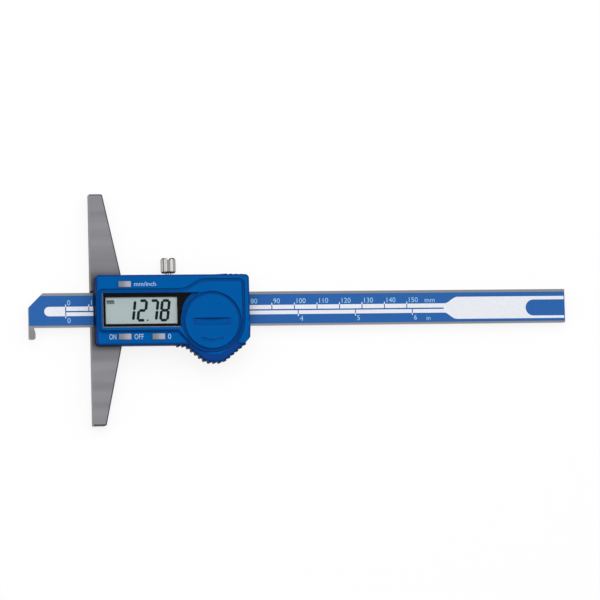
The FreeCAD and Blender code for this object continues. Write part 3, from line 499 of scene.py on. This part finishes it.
def add_print(name, shapes, level, material, body, thick=PRINT_THICK):
    """One thin printed piece made of flat outlines in mm, lying on a level and facing +Z."""
    build = bmesh.new()
    for outline in shapes:
        low = [build.verts.new((x * MM, y * MM, level * MM)) for x, y in outline]
        high = [build.verts.new((x * MM, y * MM, (level + thick) * MM)) for x, y in outline]
        build.faces.new(high)
        build.faces.new(low[::-1])
        for index in range(len(outline)):
            after = (index + 1) % len(outline)
            build.faces.new((low[index], low[after], high[after], high[index]))
    build.normal_update()
    bmesh.ops.triangulate(build, faces=[face for face in build.faces if len(face.verts) > 4])
    add_piece(name, build, material, body)


def text_mesh(text, weight):
    """A text's flat mesh from its lower left corner on, and how wide and high it is."""
    curve = bpy.data.curves.new("text", "FONT")
    curve.body = text
    curve.resolution_u = 4
    curve.offset = weight
    holder = bpy.data.objects.new("text", curve)
    bpy.context.collection.objects.link(holder)
    bpy.context.view_layer.update()
    flat = bpy.data.meshes.new_from_object(holder)
    bpy.data.objects.remove(holder)
    xs = [vertex.co.x for vertex in flat.vertices]
    ys = [vertex.co.y for vertex in flat.vertices]
    flat.transform(Matrix.Translation((-min(xs), -min(ys), 0)))
    return flat, max(xs) - min(xs), max(ys) - min(ys)


def add_words(name, words, level, material, body, weight):
    """One piece of flat lettering from (text, left, low, high, width) in mm; at width 0 the font sets it."""
    build = bmesh.new()
    for text, left, low, high, width in words:
        flat, text_width, text_height = text_mesh(text, weight)
        scale_y = (high - low) / text_height
        scale_x = width / text_width if width else scale_y
        flat.transform(Matrix.Diagonal((scale_x * MM, scale_y * MM, 1, 1)))
        flat.transform(Matrix.Translation((left * MM, low * MM, (level + PRINT_THICK) * MM)))
        build.from_mesh(flat)
        bpy.data.meshes.remove(flat)
    bmesh.ops.remove_doubles(build, verts=build.verts, dist=1e-7)
    add_piece(name, build, material, body)


# Printed scale: lengths from the measuring face and heights from the beam's centre line, in mm

LABEL_LOW, LABEL_HIGH = box_of("scale_label")
LABEL_LEVEL = LABEL_HIGH.z + 0.008
LABEL_END = LABEL_HIGH.x - 0.4
ZERO = LABEL_LOW.x + 15.87                     # the zero mark of both scales
INCH = 25.4
MILLIMETRES = [ZERO + 10 * step for step in range(16)]
INCHES = [ZERO + INCH * step for step in range(7)]
STRIPE_START = LABEL_LOW.x + 8.65              # the centre of the stripes' round end
STRIPE_TOP, STRIPE_LOW = 1.45, -2.62
SPLIT_TOP, SPLIT_LOW = -0.38, -0.98            # the blue line between the two stripes
SPLIT_END = LABEL_HIGH.x - 54.8                # where the stripes run into the white field
GAP = 0.22                                     # half the blue gap that a tick leaves in a stripe
TICK_FOOT, TICK_TIP = 0.26, 0.12               # half the width of a tick's white end, at the stripe and away
TICK_HEIGHT = 0.95
FIELD_TOP, FIELD_LOW = 4.28, -5.43
FLARE_LENGTH = 5.9                             # from the stripes' end to the field's full height
FLARE_TOP = [(1.1, 0.12), (2.0, 0.50), (3.7, 1.75), (4.7, 2.35)]      # past that end and above the stripes
FLARE_LOW = [(1.1, 0.12), (2.0, 0.78), (3.7, 2.00), (4.7, 2.60)]      # past that end and below the stripes
BAR_TOP, BAR_LOW = 2.80, -4.30                 # the blue bar in the white field
BAR_START = LABEL_HIGH.x - 17.8
NUMERAL_GAP = 0.7                              # from a mark to its numeral
ONE_GAP = 1.05                                 # the same where a narrow 1 comes first
NUMERAL_HEIGHT = 2.15
NUMERAL_LOW, INCH_NUMERAL_LOW = 2.1, -5.6
UNIT_NAMES = [("mm", SPLIT_END - 8.4, 2.0, 3.4, 0), ("in", SPLIT_END - 7.8, -5.80, -4.0, 0)]
PRINT_WHITE = (0.89, 0.91, 0.97)


def cells(marks, low, high):
    """White cells of a stripe, from the zero mark to its end, between the gaps that the ticks leave."""
    edges = [ZERO + GAP]
    for mark in marks[1:]:
        edges += [mark - GAP, mark + GAP]
    edges.append(SPLIT_END)
    return [rectangle(edges[place], low, edges[place + 1], high) for place in range(0, len(edges), 2)]


def ticks(marks, edge, side):
    """The white ends of the ticks outside a stripe's edge, side being 1 above it and -1 below it."""
    foot, tip, end = side * TICK_FOOT, side * TICK_TIP, edge + side * TICK_HEIGHT
    outline = [(-foot, edge), (foot, edge), (tip, end), (-tip, end)]
    return [[(mark + x, y) for x, y in outline] for mark in marks]


def start_outline():
    """The round start of the stripes, up to the zero mark."""
    middle, radius = (STRIPE_TOP + STRIPE_LOW) / 2, (STRIPE_TOP - STRIPE_LOW) / 2
    end = ZERO - GAP
    return [(end, STRIPE_LOW), (end, STRIPE_TOP)] + arc((STRIPE_START, middle), radius, 90, 270)


def field_outline():
    """The white field that flares out of the stripes and surrounds the blue bar."""
    middle, radius = (BAR_TOP + BAR_LOW) / 2, (BAR_TOP - BAR_LOW) / 2
    flare_top = [(SPLIT_END + along, STRIPE_TOP + up) for along, up in FLARE_TOP]
    flare_low = [(SPLIT_END + along, STRIPE_LOW - down) for along, down in FLARE_LOW]
    flare_end = SPLIT_END + FLARE_LENGTH
    return (
        [(SPLIT_END, STRIPE_LOW), (SPLIT_END, STRIPE_TOP)] + flare_top
        + [(flare_end, FIELD_TOP), (LABEL_END, FIELD_TOP), (LABEL_END, BAR_TOP)]
        + arc((BAR_START + radius, middle), radius, 90, 270)
        + [(LABEL_END, BAR_LOW), (LABEL_END, FIELD_LOW), (flare_end, FIELD_LOW)] + flare_low[::-1])


def add_scale():
    """White stripes with their ticks and the white field."""
    white = ink("scale_white", shade(PRINT_WHITE, 0.97), shade(PRINT_WHITE, 1.03), 700)
    shapes = [start_outline()]
    shapes += cells(MILLIMETRES, SPLIT_TOP, STRIPE_TOP)
    shapes += cells(INCHES, STRIPE_LOW, SPLIT_LOW)
    shapes += ticks(MILLIMETRES, STRIPE_TOP, 1)
    shapes += ticks(INCHES, STRIPE_LOW, -1)
    shapes.append(field_outline())
    add_print("scale_white", shapes, LABEL_LEVEL, white, "ruler")


def add_numerals():
    """The numbers of both scales and the names of their units."""
    pale = ink("numeral_pale", (0.40, 0.70, 0.93), (0.44, 0.76, 0.99), 700)
    words = []
    for step, mark in enumerate(MILLIMETRES):
        text = str(10 * step)
        left = mark + (ONE_GAP if text.startswith("1") else NUMERAL_GAP)
        words.append((text, left, NUMERAL_LOW, NUMERAL_LOW + NUMERAL_HEIGHT, 0))
    for step, mark in enumerate(INCHES):
        words.append((str(step), mark + NUMERAL_GAP, INCH_NUMERAL_LOW, INCH_NUMERAL_LOW + NUMERAL_HEIGHT, 0))
    add_words("scale_numerals", words + UNIT_NAMES, LABEL_LEVEL, pale, "ruler", weight=-0.004)


# Display, from the lower left corner of the display panel, in mm

PANEL_LOW, PANEL_HIGH = box_of("lcd_panel")
PANEL_LEVEL = PANEL_HIGH.z + 0.01
DIGITS = [("1", 9.62), ("2", 14.65), ("7", 19.55), ("8", 24.47)]       # each with where it starts
DIGIT_LOW = 2.73
DIGIT_WIDTH, DIGIT_HEIGHT = 3.05, 8.45         # between the middles of its segments
SEGMENT_HALF = 0.60                            # half the width of a segment
SEGMENT_NIB = 0.42                             # the length of its pointed end
SEGMENT_GAP = 0.1                              # from its end to the corner
SLANT = 0.122
POINT_START, POINT_SIZE, POINT_DROP = 18.55, 0.65, 0.35
UNIT_START, UNIT_WIDTH = 1.35, 3.3
UNIT_LOW, UNIT_HIGH = 9.8, 11.5


def segment(start, end, origin):
    """A display segment with pointed ends that leans by the slant."""
    start, end = Vector(start), Vector(end)
    along = (end - start).normalized()
    across = Vector((-along.y, along.x)) * SEGMENT_HALF
    nib = along * SEGMENT_NIB
    points = [start, start + nib - across, end - nib - across, end, end - nib + across, start + nib + across]
    return [(origin.x + point.x + SLANT * point.y, origin.y + point.y) for point in points]


def digit_shapes(digit, origin):
    """The lit segments of one seven-segment digit, origin at the centre of its lower left corner."""
    middle = DIGIT_HEIGHT / 2
    far, above, top = DIGIT_WIDTH - SEGMENT_GAP, middle + SEGMENT_GAP, DIGIT_HEIGHT - SEGMENT_GAP
    strokes = {
        "a": ((SEGMENT_GAP, DIGIT_HEIGHT), (far, DIGIT_HEIGHT)),
        "b": ((DIGIT_WIDTH, above), (DIGIT_WIDTH, top)),
        "c": ((DIGIT_WIDTH, SEGMENT_GAP), (DIGIT_WIDTH, middle - SEGMENT_GAP)),
        "d": ((SEGMENT_GAP, 0), (far, 0)),
        "e": ((0, SEGMENT_GAP), (0, middle - SEGMENT_GAP)),
        "f": ((0, above), (0, top)),
        "g": ((SEGMENT_GAP, middle), (far, middle)),
    }
    lit = {"1": "bc", "2": "abged", "7": "abc", "8": "abcdefg"}[digit]
    return [segment(*strokes[name], origin) for name in lit]


def add_display():
    """The reading 12.78 and the faint unit on the display panel."""
    dark = ink("display_ink", (0.003, 0.014, 0.02), (0.006, 0.02, 0.027), 900, 0.3, Specular_IOR_Level=0.1)
    shapes = []
    for digit, start in DIGITS:
        shapes += digit_shapes(digit, PANEL_LOW.xy + Vector((start, DIGIT_LOW)))
    left, low = PANEL_LOW.x + POINT_START, PANEL_LOW.y + DIGIT_LOW - POINT_DROP
    shapes.append(rectangle(left, low, left + POINT_SIZE, low + POINT_SIZE))
    add_print("display_digits", shapes, PANEL_LEVEL, dark, "slider")
    faint = ink("display_ink_faint", (0.035, 0.063, 0.08), (0.045, 0.077, 0.10), 900)
    unit = ("mm", PANEL_LOW.x + UNIT_START, PANEL_LOW.y + UNIT_LOW, PANEL_LOW.y + UNIT_HIGH, UNIT_WIDTH)
    add_words("display_unit", [unit], PANEL_LEVEL, faint, "slider", weight=0.05)


# Window, in mm

LENS_LOW, LENS_HIGH = box_of("window_lens")
BORDER_LEFT = LENS_LOW.x + 0.2
BORDER_LOW = LENS_LOW.y + 0.42
BORDER_TOP = LENS_HIGH.y - 0.1
VIEW_LEFT, VIEW_RIGHT = PANEL_LOW.x + 0.75, PANEL_HIGH.x - 0.95        # the clear view inside the border
VIEW_LOW, VIEW_TOP = PANEL_LOW.y + 1.2, PANEL_HIGH.y - 0.7
COVER = middle_of("battery_cover")
COVER_ROOM = 13.55                             # the radius round the cover that the border keeps out of
NOSE = VIEW_RIGHT + 12.7, -2.85                # the centre of the arc that rounds the border's right end
NOSE_RADIUS = 10.77
NOSE_END = VIEW_RIGHT + 6.4                    # where that end is cut off
BORDER_THICK = 0.02
BORDER_SUNK = 0.04                             # how far the print lies below the window's back
# Where the painted highlight along the acrylic's edge lies
EDGE_LEVEL = LENS_HIGH.z + 0.002
EDGE_MARGIN = 0.05
EDGE_WIDTH = 0.2
EDGE_STOP = 0.3                                # how far the painted edge highlight ends before the border does


def border_reach(y):
    """How far the border runs to the right at a height."""
    beside_cover = COVER.x - math.sqrt(COVER_ROOM ** 2 - (y - COVER.y) ** 2)
    beside_nose = NOSE[0] - math.sqrt(NOSE_RADIUS ** 2 - (y - NOSE[1]) ** 2)
    return min(beside_cover, beside_nose, NOSE_END)


def border_side(start, end, steps=8):
    """Points up the border's right side between two heights."""
    heights = [start + (end - start) * step / steps for step in range(steps + 1)]
    return [(border_reach(y), y) for y in heights]


def add_window_print():
    """The black border printed behind the window, and a pale strip at the acrylic's left and foot, a painted
    highlight of its edge.
    """
    black = ink("border_black", (0.0035, 0.003, 0.004), (0.005, 0.0045, 0.0055), 400, 0.3,
                Specular_IOR_Level=0.1)
    border = [
        [(BORDER_LEFT, VIEW_TOP)] + border_side(VIEW_TOP, BORDER_TOP) + [(BORDER_LEFT, BORDER_TOP)],
        [(BORDER_LEFT, BORDER_LOW)] + border_side(BORDER_LOW, VIEW_LOW) + [(BORDER_LEFT, VIEW_LOW)],
        rectangle(BORDER_LEFT, VIEW_LOW, VIEW_LEFT, VIEW_TOP),
        [(VIEW_RIGHT, VIEW_LOW)] + border_side(VIEW_LOW, VIEW_TOP, 16) + [(VIEW_RIGHT, VIEW_TOP)],
    ]
    add_print("window_border", border, LENS_LOW.z - BORDER_SUNK, black, "slider", BORDER_THICK)
    # painted highlight: a pale strip where the acrylic's edge catches light
    highlight_grey = ink("edge_highlight", (0.17, 0.18, 0.24), (0.23, 0.24, 0.30), 500, 0.3)
    left, low = LENS_LOW.x + EDGE_MARGIN, LENS_LOW.y + EDGE_MARGIN
    edges = [
        rectangle(left, low, left + EDGE_WIDTH, BORDER_TOP),
        rectangle(left + EDGE_WIDTH, low, border_reach(BORDER_LOW) - EDGE_STOP, BORDER_LOW - EDGE_MARGIN),
    ]
    add_print("window_edge_highlight", edges, EDGE_LEVEL, highlight_grey, "slider")


# Lettering on the housing, in mm

KEY_STAND = 0.5                                # how far a button stands out of the front
CAPITAL_HALF = 1.15                            # half the height of ON, OFF and 0


def add_lettering():
    """What each button does, beside it on the housing's flat front."""
    white = ink("letter_white", (0.37, 0.53, 0.73), (0.43, 0.59, 0.79), 1500, 0.5)
    unit, power, zero = (middle_of(node) for node in ("button_mm_inch", "button_on_off", "button_zero"))
    low, high = power.y - CAPITAL_HALF, power.y + CAPITAL_HALF
    words = [
        ("mm/inch", unit.x + 4.1, unit.y - 0.85, unit.y + 1.05, 9.5),
        ("ON", power.x - 6.8, low, high, 3.0),
        ("OFF", power.x + 4.0, low, high, 4.0),
        ("0", zero.x + 4.0, zero.y - CAPITAL_HALF, zero.y + CAPITAL_HALF, 1.35),
    ]
    add_words("key_lettering", words, box_of("button_zero")[1].z - KEY_STAND, white, "slider", weight=0.008)


add_camera()
add_world()
add_lamp()
add_floor()
dress_nodes()
add_scale()
add_numerals()
add_display()
add_window_print()
add_lettering()

bpy.context.scene.view_settings.view_transform = "Standard"
